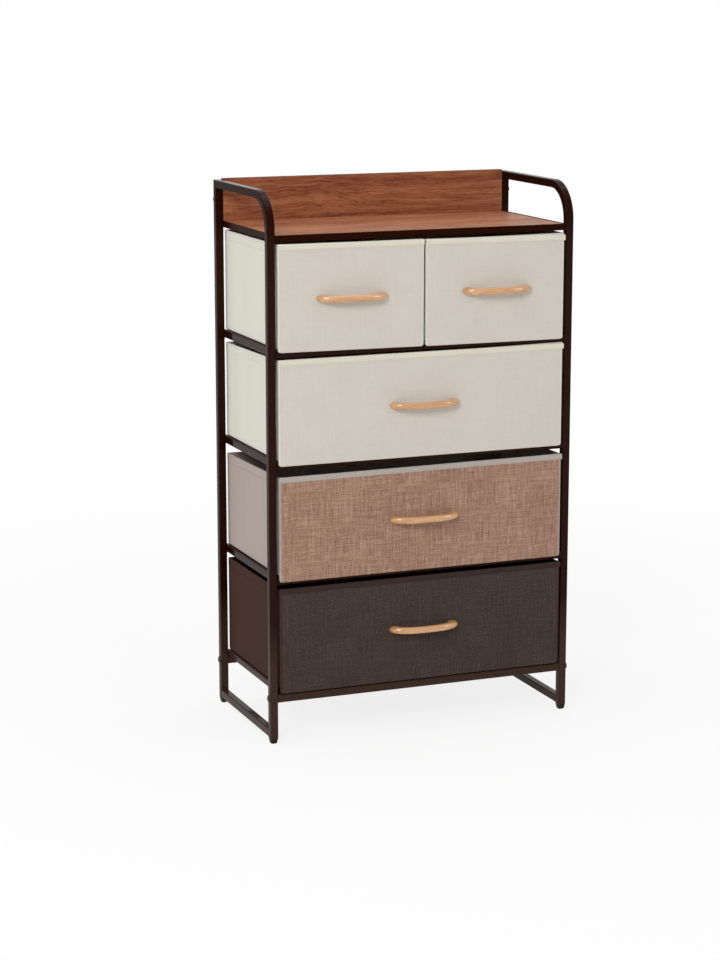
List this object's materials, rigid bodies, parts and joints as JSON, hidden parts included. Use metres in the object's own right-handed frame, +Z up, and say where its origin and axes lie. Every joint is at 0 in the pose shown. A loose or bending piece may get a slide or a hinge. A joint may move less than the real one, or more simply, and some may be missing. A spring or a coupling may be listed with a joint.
{
  "type": "fabric drawer dresser",
  "caption": "Tall free-standing dresser: square steel tube frame, walnut-look shelf with a backboard, and soft fabric drawers with bow handles in cream, taupe and espresso.",
  "frame": {"origin": "on the floor under the middle of the outline, handles and bolt heads included", "axes": "+X to the right seen from the front, -Y the way the drawers open, +Z up"},
  "size_m": [0.6064, 0.3282, 1.01],
  "materials": {
    "espresso_steel": "semi-gloss powder coat, very dark brown",
    "black_plastic": "moulded, matt",
    "dark_bolt": "semi-gloss",
    "zinc_screw": "zinc plated",
    "walnut": "satin walnut veneer, grain along the width",
    "stiffener_board": "raw fibreboard",
    "maple": "glossy, pale peach maple",
    "cream_plain": "non-woven",
    "cream_linen": "fine plain weave",
    "cream_binding": "folded tape",
    "taupe_plain": "non-woven",
    "taupe_linen": "heathered linen weave",
    "taupe_binding": "folded tape",
    "espresso_plain": "non-woven",
    "espresso_linen": "heathered linen weave",
    "espresso_binding": "folded tape"
  },
  "bodies": {
    "frame": {"back_board": "walnut", "base_bolts": "dark_bolt", "board_bolts": "dark_bolt", "centre_runner": "espresso_steel", "foot_caps": "black_plastic", "front_rail_1": "espresso_steel", "front_rail_2": "espresso_steel", "front_rail_3": "espresso_steel", "front_rail_4": "espresso_steel", "left_bent_rail": "espresso_steel", "left_foot_rail": "espresso_steel", "left_rear_post": "espresso_steel", "left_runner_1": "espresso_steel", "left_runner_2": "espresso_steel", "left_runner_3": "espresso_steel", "left_runner_4": "espresso_steel", "rail_nuts": "zinc_screw", "rear_rail_1": "espresso_steel", "rear_rail_2": "espresso_steel", "rear_rail_3": "espresso_steel", "rear_rail_4": "espresso_steel", "right_bent_rail": "espresso_steel", "right_foot_rail": "espresso_steel", "right_rear_post": "espresso_steel", "right_runner_1": "espresso_steel", "right_runner_2": "espresso_steel", "right_runner_3": "espresso_steel", "right_runner_4": "espresso_steel", "shelf_frame": "espresso_steel", "top_board": "walnut"},
    "upper_left_drawer": {"upper_left_bin": "cream_plain", "upper_left_front_panel": "cream_linen", "upper_left_rim_binding": "cream_binding", "upper_left_base_board": "stiffener_board", "upper_left_handle": "maple", "upper_left_handle_screws": "zinc_screw"},
    "upper_right_drawer": {"upper_right_bin": "cream_plain", "upper_right_front_panel": "cream_linen", "upper_right_rim_binding": "cream_binding", "upper_right_base_board": "stiffener_board", "upper_right_handle": "maple", "upper_right_handle_screws": "zinc_screw"},
    "second_drawer": {"second_bin": "cream_plain", "second_front_panel": "cream_linen", "second_rim_binding": "cream_binding", "second_base_board": "stiffener_board", "second_handle": "maple", "second_handle_screws": "zinc_screw"},
    "third_drawer": {"third_bin": "taupe_plain", "third_front_panel": "taupe_linen", "third_rim_binding": "taupe_binding", "third_base_board": "stiffener_board", "third_handle": "maple", "third_handle_screws": "zinc_screw"},
    "bottom_drawer": {"bottom_bin": "espresso_plain", "bottom_front_panel": "espresso_linen", "bottom_rim_binding": "espresso_binding", "bottom_base_board": "stiffener_board", "bottom_handle": "maple", "bottom_handle_screws": "zinc_screw"}
  },
  "joints": [
    {"name": "upper_left_drawer_slide", "type": "slide", "parent": "frame", "child": "upper_left_drawer", "axis": [0, -1, 0], "range_m": [0, 0.26]},
    {"name": "upper_right_drawer_slide", "type": "slide", "parent": "frame", "child": "upper_right_drawer", "axis": [0, -1, 0], "range_m": [0, 0.26]},
    {"name": "second_drawer_slide", "type": "slide", "parent": "frame", "child": "second_drawer", "axis": [0, -1, 0], "range_m": [0, 0.26]},
    {"name": "third_drawer_slide", "type": "slide", "parent": "frame", "child": "third_drawer", "axis": [0, -1, 0], "range_m": [0, 0.26]},
    {"name": "bottom_drawer_slide", "type": "slide", "parent": "frame", "child": "bottom_drawer", "axis": [0, -1, 0], "range_m": [0, 0.26]}
  ]
}
